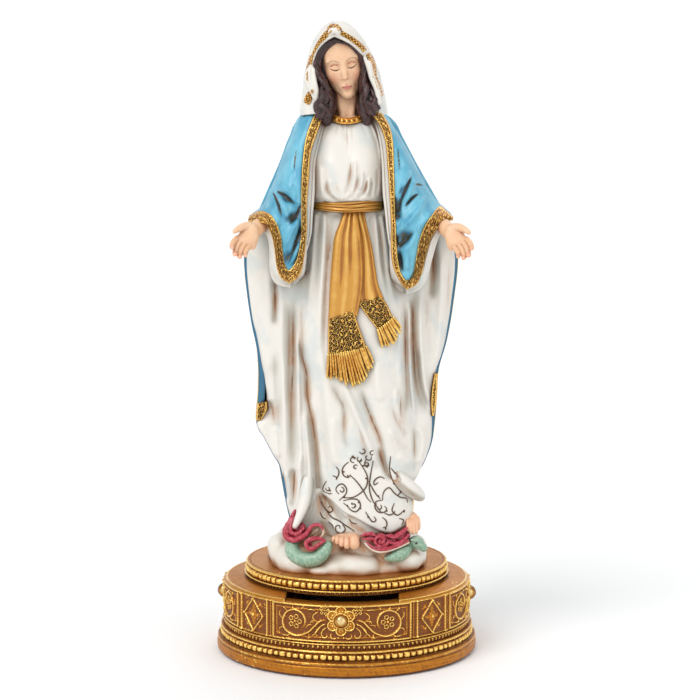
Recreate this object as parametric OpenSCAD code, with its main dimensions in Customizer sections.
// Devotional statue of a veiled woman with open hands, standing on a round plinth with a keepsake drawer.
// +Z is up, the figure faces -Y, and the origin is the centre of the resting face.
// Left and right are as seen from the front, so left is -X.

/* [Plinth] */
// Height of the plinth, up to the top of its upper tier
plinth_h = 43.5; // [42:0.5:46]
// Radius of the foot moulding
foot_r = 62.5; // [61:0.5:65]
// Radius of the upper tier
tier_r = 50; // [49:0.1:51]
// Height of the upper tier
tier_h = 7.5; // [7:0.1:8]
// Thickness of the felt under the plinth
felt_t = 1; // [0.5:0.1:1.5]

/* [Drawer] */
// Width of the tray
tray_w = 52; // [44:1:54]
// Length of the tray, from its curved front to its back
tray_l = 75; // [60:1:80]
// Height of the tray
tray_h = 14.5; // [10:0.5:15]
// Wall thickness of the tray
tray_t = 2.4; // [2:0.1:3]
// Running gap round the tray and its front
gap = 0.4; // [0.3:0.1:0.5]
// Half width of the drawer's front panel
panel_x = 32.4; // [31:0.1:33]
// Radius of the ball of the pull and of the bosses
ball_r = 3.5; // [3:0.1:3.6]

/* [Figure] */
// Height of the figure with its rock, above the plinth
figure_h = 261.5; // [250:0.5:280]
// Depth of the flutes in the skirt
flute = 1.1; // [0:0.1:1.5]
// Points round each cross-section of the figure
around = 36; // [24:4:48]

/* [Hidden] */
$fn = 64;

resin_gold = [0.62, 0.42, 0.16];
bright_gold = [0.80, 0.62, 0.22];
ivory = [0.93, 0.91, 0.87];
sky_blue = [0.36, 0.68, 0.80];
skin = [0.90, 0.70, 0.54];
hair_brown = [0.28, 0.18, 0.17];
leaf_green = [0.42, 0.60, 0.48];
rose_red = [0.75, 0.20, 0.28];

// Levels of the plinth, upwards
board_t = 2.4;
board_r = foot_r - 7;
chamber_top = 11.5;
panel_z0 = 16.3;
pocket_floor = 17;
drum_h = plinth_h - tier_h;
panel_z1 = drum_h - 1.6;
frieze_r = foot_r - 3.5;
seat_r = foot_r - 10;
pull_z = (panel_z0 + panel_z1) / 2 + 1.6;
ball_y = foot_r - 2.9;
screw_r = 1;
socket_r = 9;
socket_depth = 4;
tray_back = -seat_r + tray_l;
tray_z = pocket_floor + gap;
travel_stop = tray_back + gap;

// The figure's own numbers are drawn for a plinth of 43.5 mm and a figure of 261.5 mm.
drawn_plinth = 43.5;
drawn_figure = 261.5;

// ---------- Helpers ----------

// Closed solid through rings that run anticlockwise seen from above, lowest ring first
module loft(rings) {
    n = len(rings[0]);
    m = len(rings);
    middle = function(r) [for (k = [0:2]) [for (p = r) p[k]] * [for (p = r) 1 / n]];
    points = [for (r = rings) each r, middle(rings[0]), middle(rings[m - 1])];
    at = function(j, i) j * n + i % n;
    faces = [
        for (j = [0:m - 2], i = [0:n - 1]) each [
            [at(j, i), at(j + 1, i), at(j + 1, i + 1)],
            [at(j, i), at(j + 1, i + 1), at(j, i + 1)]
        ],
        for (i = [0:n - 1]) [m * n, at(0, i), at(0, i + 1)],
        for (i = [0:n - 1]) [m * n + 1, at(m - 1, i + 1), at(m - 1, i)]
    ];
    polyhedron(points, faces);
}

// Closed solid between a front and a back grid, rows upwards and columns towards +X
module slab(front, back) {
    m = len(front) - 1;
    n = len(front[0]) - 1;
    size = (m + 1) * (n + 1);
    points = [for (r = front) each r, for (r = back) each r];
    f = function(j, i) j * (n + 1) + i;
    b = function(j, i) size + f(j, i);
    faces = [
        for (j = [0:m - 1], i = [0:n - 1]) each [
            [f(j, i), f(j + 1, i), f(j + 1, i + 1)], [f(j, i), f(j + 1, i + 1), f(j, i + 1)],
            [b(j, i), b(j, i + 1), b(j + 1, i + 1)], [b(j, i), b(j + 1, i + 1), b(j + 1, i)]
        ],
        for (j = [0:m - 1]) each [
            [b(j, 0), b(j + 1, 0), f(j + 1, 0)], [b(j, 0), f(j + 1, 0), f(j, 0)],
            [f(j, n), f(j + 1, n), b(j + 1, n)], [f(j, n), b(j + 1, n), b(j, n)]
        ],
        for (i = [0:n - 1]) each [
            [f(0, i + 1), b(0, i + 1), b(0, i)], [f(0, i + 1), b(0, i), f(0, i)],
            [f(m, i), b(m, i), b(m, i + 1)], [f(m, i), b(m, i + 1), f(m, i + 1)]
        ]
    ];
    polyhedron(points, faces);
}

// Value at height z in column k of a table whose rows start with z
function at_z(table, k, z) = lookup(z, [for (row = table) [row[0], row[k]]]);

// Ring at height z with its own reach to the left, right, front and back, and flutes on its outline
function outline(z, left, right, front, back, flutes = 0, depth = 0, count = around) = [
    for (i = [0:count - 1])
        let (a = 360 * i / count, c = cos(a), s = sin(a),
             power = 0.86,
             grow = 1 + depth * cos(flutes * a) / max(left, 1),
             x = sign(c) * pow(abs(c), power) * (c < 0 ? left : right),
             y = sign(s) * pow(abs(s), power) * (s < 0 ? front : back))
        [x * grow, y * grow, z]
];

// Tube along a path of [x, y, z, radius] stations
module sweep(path, sides = 10) {
    n = len(path);
    at = function(i) [path[i][0], path[i][1], path[i][2]];
    rings = [
        for (i = [0:n - 1])
            let (t = at(min(i + 1, n - 1)) - at(max(i - 1, 0)),
                 up = abs(t[2]) > 0.8 * norm(t) ? [0, 1, 0] : [0, 0, 1],
                 u = cross(t, up) / norm(cross(t, up)),
                 v = cross(u, t) / norm(t))
            [for (k = [0:sides - 1])
                at(i) + path[i][3] * (cos(360 * k / sides) * u - sin(360 * k / sides) * v)]
    ];
    loft(rings);
}

// Moves and scales the figure from its drawn size to its place on the plinth
module on_plinth() {
    translate([0, 0, plinth_h])
        scale(figure_h / drawn_figure)
            translate([0, 0, -drawn_plinth])
                children();
}

// ---------- Plinth ----------

module felt_pad() {
    color([0.16, 0.30, 0.20])
        cylinder(r = foot_r - 2, h = felt_t);
}

module bottom_board() {
    color([0.55, 0.42, 0.28])
        translate([0, 0, felt_t])
            cylinder(r = board_r, h = board_t);
}

module drum_blank() {
    rotate_extrude()
        polygon([
            [0, felt_t], [foot_r - 0.9, felt_t], [foot_r, felt_t + 1.2], [foot_r, 6], [foot_r - 0.7, 7.2],
            [foot_r - 0.5, 8], [foot_r - 2.3, 8.4], [foot_r - 2.3, 10.8], [foot_r - 1.9, 11.6],
            [foot_r - 2.1, 12.4], [foot_r - 3.7, 12.8], [foot_r - 3.7, 15], [foot_r - 3.1, 15.4],
            [frieze_r, panel_z0], [frieze_r, drum_h - 1.6], [frieze_r - 0.5, drum_h - 1.1],
            [tier_r + 1, drum_h], [0, drum_h]
        ]);
}

module drum() {
    color(resin_gold)
        difference() {
            drum_blank();
            // Chamber that lightens the casting, with a rebate for the board
            translate([0, 0, felt_t - 1])
                cylinder(r = board_r - 3, h = chamber_top - felt_t + 1);
            translate([0, 0, felt_t - 1])
                cylinder(r = board_r, h = board_t + 1);
            // Pocket for the tray, open to the front and closed above by the upper tier
            translate([-tray_w / 2 - gap, -foot_r, pocket_floor])
                cube([tray_w + 2 * gap, foot_r + travel_stop, drum_h]);
            // Seat of the front panel, under a lip at either end
            difference() {
                translate([-panel_x - gap, -foot_r - 1, panel_z0 - gap])
                    cube([2 * (panel_x + gap), foot_r, panel_z1 - panel_z0 + 2 * gap]);
                cylinder(r = seat_r - gap, h = drum_h);
            }
            for (a = [0, 90, 180])
                rotate([0, 0, a])
                    translate([0, 0, pull_z])
                        rotate([0, 90, 0])
                            translate([0, 0, seat_r])
                                cylinder(r = 1.5, h = 12);
        }
}

module upper_tier() {
    top = plinth_h;
    color(resin_gold)
        difference() {
            rotate_extrude()
                polygon([
                    [0, drum_h], [tier_r - 1.5, drum_h], [tier_r - 1.5, drum_h + 1], [tier_r, drum_h + 1.3],
                    [tier_r, drum_h + 1.9], [tier_r - 1.5, drum_h + 2.3], [tier_r - 1.5, top - 1.6],
                    [tier_r - 1, top - 1.3], [tier_r - 1, top - 0.6], [tier_r - 1.7, top], [0, top]
                ]);
            translate([0, 0, top - socket_depth])
                cylinder(r = socket_r, h = socket_depth + 1);
        }
}

// Profile of a gilt ball with a flat back, and a hole when hole_r is over nought
function ball_profile(hole_r) =
    let (back = frieze_r + 0.02 - ball_y, flat = acos(back / ball_r))
    concat(
        hole_r > 0 ? [[0, 1.4], [hole_r, 1.2], [hole_r, back]] : [[0, back]],
        [for (k = [0:14])
            let (a = flat * (1 - k / 14))
            [ball_r * sin(a), ball_r * cos(a)]]
    );

// Gilt ball on a stem, glued into the drum
module boss(turn) {
    color(bright_gold)
        rotate([0, 0, turn])
            translate([0, 0, pull_z])
                rotate([0, 90, 0]) {
                    translate([0, 0, ball_y])
                        rotate_extrude()
                            polygon(ball_profile(0));
                    translate([0, 0, seat_r + 0.3])
                        cylinder(r = 1.4, h = ball_y - seat_r);
                }
}

// ---------- Drawer ----------

module tray_block(inset, z) {
    intersection() {
        translate([-tray_w / 2 + inset, -foot_r, z])
            cube([tray_w - 2 * inset, foot_r + tray_back - inset, tray_h]);
        cylinder(r = seat_r - inset, h = drum_h + tray_h);
    }
}

module drawer_tray() {
    color([0.45, 0.30, 0.14])
        difference() {
            intersection() {
                tray_block(0, tray_z);
                cylinder(r = foot_r, h = drum_h - 1);
            }
            tray_block(tray_t, tray_z + tray_t);
            translate([0, 0, pull_z])
                rotate([90, 0, 0])
                    cylinder(r = screw_r + 0.1, h = foot_r);
        }
}

module drawer_lining() {
    color([0.35, 0.05, 0.10])
        intersection() {
            tray_block(tray_t, tray_z + tray_t);
            cylinder(r = foot_r, h = tray_z + tray_t + 0.8);
        }
}

module drawer_front() {
    color(resin_gold)
        difference() {
            intersection() {
                cylinder(r = frieze_r + 0.3, h = drum_h);
                translate([-panel_x, -foot_r, panel_z0])
                    cube([2 * panel_x, foot_r, panel_z1 - panel_z0]);
            }
            cylinder(r = seat_r, h = drum_h);
            // Sunk field inside the border
            difference() {
                translate([-panel_x + 2.4, -foot_r, panel_z0 + 2.2])
                    cube([2 * panel_x - 4.8, foot_r, panel_z1 - panel_z0 - 4.4]);
                cylinder(r = frieze_r, h = drum_h);
            }
            translate([0, 0, pull_z])
                rotate([90, 0, 0])
                    cylinder(r = screw_r + 0.1, h = foot_r);
        }
}

// Ball of the pull, screwed on from inside the tray
module drawer_pull() {
    color(bright_gold)
        translate([0, -ball_y, pull_z])
            rotate([90, 0, 0])
                rotate_extrude()
                    polygon(ball_profile(screw_r));
}

module pull_screw() {
    head_y = seat_r - tray_t;
    color([0.75, 0.75, 0.78])
        translate([0, 0, pull_z])
            rotate([90, 0, 0]) {
                translate([0, 0, head_y - 1.6])
                    cylinder(r = 2.4, h = 1.5);
                translate([0, 0, head_y - 0.2])
                    cylinder(r = screw_r, h = ball_y - head_y);
            }
}

// ---------- Gown ----------

// z, left, right, front, back
SKIRT = [
    [55, 25, 31, 26, 22], [66, 27, 33, 27, 23], [78, 27, 32, 26, 22], [92, 26, 29, 24.5, 21],
    [110, 26, 28, 24, 21], [130, 26, 27, 24, 21], [150, 25, 26, 23.5, 21], [172, 22.5, 24, 22, 20],
    [190, 20, 21.5, 20, 18], [204, 17.5, 19, 17.5, 15], [214.5, 15.8, 17, 15, 13]
];
BODICE = [
    [219, 16, 17.2, 15.5, 13], [224, 18.2, 19.2, 19.5, 14], [232, 18.4, 19, 20.5, 15],
    [242, 17.6, 18.2, 18.5, 15], [250, 17, 17.6, 15.5, 14], [256, 14.5, 15.5, 12.5, 12], [260, 10.5, 11.5, 10, 9]
];

module table_form(table, flutes = 0, depth = 0) {
    loft([for (row = table) outline(row[0], row[1], row[2], row[3], row[4], flutes, depth)]);
}

module skirt_form() {
    table_form(SKIRT, 12, flute);
}

module bodice_form() {
    table_form(BODICE, 9, flute / 2);
}

module gown_skirt() {
    color(ivory)
        on_plinth()
            skirt_form();
}

module gown_bodice() {
    color(ivory)
        on_plinth()
            bodice_form();
}

module belt() {
    bottom = SKIRT[len(SKIRT) - 1];
    top = BODICE[0];
    bulge = 1.3;
    color(bright_gold)
        on_plinth()
            loft([
                outline(bottom[0], bottom[1], bottom[2], bottom[3], bottom[4], 12, flute),
                for (t = [0.25, 0.75])
                    let (z = bottom[0] + t * (top[0] - bottom[0]))
                    outline(z, top[1] + bulge, top[2] + bulge, top[3] + bulge, top[4] + bulge),
                outline(top[0], top[1], top[2], top[3], top[4], 9, flute / 2)
            ]);
}

// Ring of braid round the neckline
module collar() {
    z = BODICE[len(BODICE) - 1][0];
    color(bright_gold)
        on_plinth()
            translate([0.5, 0, 0])
                difference() {
                    loft([
                        outline(z, 10.2, 10.2, 10.6, 8.6), outline(z + 1.2, 9.6, 9.6, 10.3, 8),
                        outline(z + 2.2, 8, 8, 9.6, 6.8)
                    ]);
                    translate([-0.5, 0, 0])
                        head_form();
                }
}

// Front face of the skirt at a height, where the sash hangs
function skirt_front(z) = at_z(SKIRT, 3, z);

// Hanging sash end: rows of [z, left x, right x]
module sash_form(rows, stand) {
    columns = 5;
    grid = function(off) [
        for (r = rows) [
            for (i = [0:columns])
                let (t = i / columns, x = r[1] + (r[2] - r[1]) * t,
                     bow = pow(x / 24, 2) * 6)
                [x, bow - skirt_front(r[0]) - off - (off > 0 ? 0.5 * sin(540 * t) : 0), r[0]]
        ]
    ];
    slab(grid(stand), grid(-2.5));
}

module sash_long() {
    color(bright_gold)
        on_plinth()
            difference() {
                sash_form([
                    [135, -8.6, 11], [148, -9, 8.5], [166, -8.6, 6.5], [184, -7, 6],
                    [200, -3.5, 6.5], [214.4, 0, 6]
                ], 2.4);
                skirt_form();
            }
}

module sash_short() {
    color(bright_gold)
        on_plinth()
            difference() {
                sash_form([[150, 16.5, 22], [160, 14.5, 26], [178, 7.4, 17], [196, 6.6, 12.5], [214.4, 6.1, 9.5]], 1.4);
                skirt_form();
            }
}

// ---------- Mantle ----------

// z, left, right, front, back
MANTLE = [
    [52, 25, 26, 8, 27], [66, 28, 30, 9, 29], [74, 30.3, 31, 9, 29], [86, 32, 34, 9, 28.5],
    [95, 35.5, 38, 9, 28], [104, 40.5, 41, 10, 28], [113, 44, 43, 11, 28], [124, 43.4, 44, 11, 28],
    [140, 43, 45, 12, 28], [155, 45, 48.5, 13, 27.5], [171, 47.5, 51.5, 14, 27], [190, 48.4, 52.6, 15, 26],
    [203, 46, 50, 15, 25], [212, 42, 46, 14, 24], [222, 37.5, 40.5, 12, 23], [236, 31.5, 32.5, 10, 21.5],
    [248, 26.5, 26, 8, 20], [256, 22, 21, 6, 17], [260, 15, 14, 5, 13]
];

module mantle_form() {
    loft([for (row = MANTLE)
        [for (p = outline(row[0], row[1], row[2], row[3], row[4], 10, 0.8)) p + [0, 2, 0]]]);
}

module mantle() {
    color(sky_blue)
        on_plinth()
            difference() {
                mantle_form();
                skirt_form();
                bodice_form();
                belt_clear();
                rock_form();
                head_form();
            }
}

// Drape of the mantle over an arm: rows upwards of [z, inner x, outer x, front y]
SLEEVE = [
    [179, 24, 30, 24], [186, 21, 34, 26], [196, 19.5, 37.5, 27.5], [205, 19, 45, 28], [212, 19, 44.5, 27],
    [222, 18.8, 38, 24.5], [236, 18.2, 31.5, 21], [248, 17.5, 26, 17.5], [256, 14, 21, 12]
];

module sleeve_form(side) {
    columns = 6;
    grid = function(depth) [
        for (r = SLEEVE) [
            for (i = [0:columns])
                let (t = side < 0 ? 1 - i / columns : i / columns,
                     x = r[1] + (r[2] - r[1]) * t,
                     y = depth > 0 ? 6 : -r[3] + 9 * pow(2 * t - 1, 2))
                [side * x, y, r[0]]
        ]
    ];
    slab(grid(0), grid(1));
}

module sleeve(side) {
    color(sky_blue)
        on_plinth()
            difference() {
                sleeve_form(side);
                mantle_form();
                skirt_form();
                bodice_form();
                belt_clear();
                wrist_form(side, 0.1);
            }
}

module belt_clear() {
    translate([0, 0, 216.7])
        cube([40, 36, 5], center = true);
}

// ---------- Hands ----------

// Wrist peg that glues into the sleeve
module wrist_form(side, extra) {
    translate([side * 36, -17, 207.5])
        rotate([0, side * 96, -side * 35])
            cylinder(r = 3 + extra, h = 12);
}

module finger(from, joint, tip, r) {
    hull() {
        translate(from) sphere(r = r, $fn = 10);
        translate(joint) sphere(r = r, $fn = 10);
    }
    hull() {
        translate(joint) sphere(r = r, $fn = 10);
        translate(tip) sphere(r = r * 0.8, $fn = 10);
    }
}

// Open hand with the palm to the front, for the left side
module hand_form() {
    hull() {
        translate([-41, -24, 206]) sphere(r = 3.2, $fn = 12);
        translate([-44, -29, 200]) sphere(r = 2.4, $fn = 12);
        translate([-49, -29, 203.5]) sphere(r = 2.4, $fn = 12);
    }
    for (k = [0:3])
        let (t = k / 3)
        finger([-49.5 + 5.5 * t, -29.5, 202.5 - 2.6 * t], [-51 + 5 * t, -33.5, 199.5 - 2 * t],
            [-51.5 + 4.8 * t, -36.5, 197 - 1.5 * t], 1.5);
    finger([-44, -26, 207], [-48, -29, 207.5], [-51.5, -31.5, 206.5], 1.6);
}

module hand(side) {
    color(skin)
        on_plinth()
            union() {
                difference() {
                    mirror([side > 0 ? 1 : 0, 0, 0])
                        hand_form();
                    sleeve_form(side);
                    mantle_form();
                }
                wrist_form(side, 0);
            }
}

// ---------- Head ----------

head_tilt = -10;

module head_form() {
    loft([
        for (row = [
            [254, 7.5, 7.5, 8, 7], [258, 6.6, 6.6, 7.5, 6.5], [264, 6, 6, 6.5, 6.5], [268, 6.2, 6.2, 9, 7],
            [270, 7.4, 7.4, 12.2, 8.5], [275, 9, 9, 13.4, 10], [280, 10, 10, 13.2, 11.5], [286, 10.4, 10.4, 12.4, 12],
            [291, 9.2, 9.2, 10.5, 11], [295, 6, 6, 6.5, 7.5], [297, 2.5, 2.5, 3, 4]
        ])
            let (shift = row[0] > 264 ? (row[0] - 264) * tan(head_tilt) : 0)
            [for (p = outline(row[0], row[1], row[2], row[3], row[4], count = 28)) p + [shift + 0.5, -2, 0]]
    ]);
}

module head() {
    color(skin)
        on_plinth()
            difference() {
                head_form();
                bodice_form();
            }
}

// Hair from the lock on the left, over the crown, to the lock on the right
module hair_form() {
    sweep([
        [-13.5, -13, 257.5, 2.5], [-12, -11, 262, 4.6], [-11, -9, 270, 4.6], [-13, -8.5, 279, 4.4],
        [-12.5, -9, 287, 4.2], [-8.5, -8.5, 293, 3.6], [-2.5, -8, 295.6, 3.2], [3.5, -8.5, 292.5, 3.6],
        [7.5, -8.5, 287, 4.2], [9.5, -8.5, 281, 4.2], [11, -8.5, 271, 4.4], [13.5, -10, 263, 4.4],
        [14.5, -12, 257.5, 2.5]
    ]);
}

module hair() {
    color(hair_brown)
        on_plinth()
            difference() {
                hair_form();
                head_form();
                bodice_form();
                mantle_form();
                collar_clear();
                for (side = [-1, 1])
                    sleeve_form(side);
            }
}

module collar_clear() {
    translate([0.5, 0, 259])
        cylinder(r = 11, h = 3.4);
}

// z, left, right, front, back; the veil leans with the head
VEIL = [
    [252, 23, 22, 10, 22], [260, 23.5, 21.5, 11, 20], [268, 21.8, 19.6, 11.5, 18], [276, 20.6, 17.2, 11.5, 17.5],
    [284, 20, 15, 12.5, 17.5], [291, 18, 11.6, 14, 16.5], [297, 14.8, 8.4, 13.5, 13.5], [301, 11.6, 5, 10, 9.5],
    [304, 7.4, 0.4, 5, 5], [305, 5, -2, 2, 2]
];

module veil_form() {
    loft([for (row = VEIL)
        let (mid = (row[2] - row[1]) / 2, half = (row[2] + row[1]) / 2)
        [for (p = outline(row[0], half, half, row[3], row[4])) p + [mid, 0, 0]]]);
}

// Opening of the veil round the face
module face_opening() {
    translate([0.5, -30, 262])
        rotate([0, head_tilt, 0])
            translate([0, 0, 10])
                rotate([-90, 0, 0])
                    scale([1, 1.75, 1])
                        cylinder(r = 13.2, h = 27);
    translate([-14, -30, 240])
        cube([29, 27, 24]);
}

module veil() {
    color(ivory)
        on_plinth()
            difference() {
                veil_form();
                face_opening();
                head_form();
                hair_form();
                mantle_form();
                bodice_form();
                collar_clear();
                for (side = [-1, 1])
                    sleeve_form(side);
            }
}

// ---------- Rock, serpent, roses and feet ----------

module rock_form() {
    lumps = function(a) 1 + 0.05 * cos(3 * a + 20) + 0.035 * cos(7 * a + 70);
    loft([
        for (row = [[43.5, 33], [45.5, 36.4], [48.5, 36], [52, 33], [55, 28]])
            [for (i = [0:around - 1])
                let (a = 360 * i / around)
                [row[1] * lumps(a) * cos(a), row[1] * lumps(a) * sin(a) * 0.84 + 1, row[0]]]
    ]);
}

module rock() {
    color(ivory)
        on_plinth()
            difference() {
                union() {
                    rock_form();
                    translate([0, 0, drawn_plinth - socket_depth + 0.5])
                        cylinder(r = socket_r - 0.3, h = socket_depth + 2);
                }
                skirt_form();
                coil_form();
                serpent_head_form();
                foot_form(-1);
                foot_form(1);
            }
}

module coil_form() {
    sweep([
        for (t = [0:0.1:1])
            let (a = 190 + 190 * t)
            [-19 + 9.5 * cos(a), -21 + 3 * sin(a) - 4 * t, 52.2 + 4.5 * sin(a) + 1.5 * t, 4.2 - 1.8 * t]
    ]);
}

module serpent_head_form() {
    sweep([[17, -26, 49, 0.6], [21, -27, 50, 2.6], [26, -25, 51.5, 3.1], [30, -21, 54, 3], [33, -17, 55, 3.6],
        [36.5, -17, 52.5, 3.2], [39, -18, 51, 1.4]]);
}

module serpent_coil() {
    color(leaf_green)
        on_plinth()
            difference() {
                coil_form();
                skirt_form();
            }
}

module serpent_head() {
    color(leaf_green)
        on_plinth()
            difference() {
                serpent_head_form();
                skirt_form();
            }
}

// Bud with petals wound round it
module rose(place, r) {
    translate(place)
        loft([
            for (row = [[-0.9, 0.5], [-0.55, 0.95], [0, 1.05], [0.45, 0.8], [0.75, 0.35]])
                [for (i = [0:19])
                    let (a = 18 * i, reach = r * row[1] * (1 + 0.1 * cos(5 * a + 40 * row[0])))
                    [reach * cos(a), reach * sin(a), r * row[0]]]
        ]);
}

module roses(places) {
    color(rose_red)
        on_plinth()
            difference() {
                for (p = places)
                    rose([p[0], p[1], p[2]], p[3]);
                skirt_form();
                rock_form();
                coil_form();
                serpent_head_form();
                foot_form(-1);
                foot_form(1);
                mantle_form();
            }
}

// Bare foot that shows under the hem
module foot_form(side) {
    place = side < 0 ? [-1, -26, 53] : [31, -18, 58];
    turn = side < 0 ? -8 : 35;
    translate(place)
        rotate([0, 0, turn]) {
            hull() {
                translate([0, 9, 3]) sphere(r = 3.4, $fn = 12);
                translate([-3, 0, 0]) sphere(r = 2.6, $fn = 12);
            }
            hull() {
                translate([0, 9, 3]) sphere(r = 3.2, $fn = 12);
                translate([3, 0, 0]) sphere(r = 2.2, $fn = 12);
            }
            hull() {
                translate([-3, 0, 0]) sphere(r = 2.4, $fn = 12);
                translate([3, 0, 0]) sphere(r = 2, $fn = 12);
            }
            for (k = [0:4])
                hull() {
                    translate([-3.6 + 1.8 * k, -1, 0]) sphere(r = 1.5 - 0.12 * k, $fn = 8);
                    translate([-3.8 + 1.9 * k, -4.6 + 0.35 * k, -0.9]) sphere(r = 1.3 - 0.12 * k, $fn = 8);
                }
        }
}

module foot(side) {
    color(skin)
        on_plinth()
            difference() {
                foot_form(side);
                skirt_form();
                serpent_head_form();
                coil_form();
            }
}

felt_pad();
bottom_board();
drum();
upper_tier();
boss(180);  // boss_left
boss(0);  // boss_right
boss(90);  // boss_rear
drawer_tray();
drawer_lining();
drawer_front();
drawer_pull();
pull_screw();
rock();
serpent_coil();
serpent_head();
roses([[-26, -19, 58, 4.5], [-17, -24, 57, 3.6]]);  // roses_left
roses([[13, -27, 55, 4], [20, -26.5, 56, 4.4], [26, -22, 58, 3.6]]);  // roses_right
foot(-1);  // foot_left
foot(1);  // foot_right
gown_skirt();
belt();
gown_bodice();
collar();
sash_long();
sash_short();
mantle();
sleeve(-1);  // sleeve_left
sleeve(1);  // sleeve_right
hand(-1);  // hand_left
hand(1);  // hand_right
head();
hair();
veil();
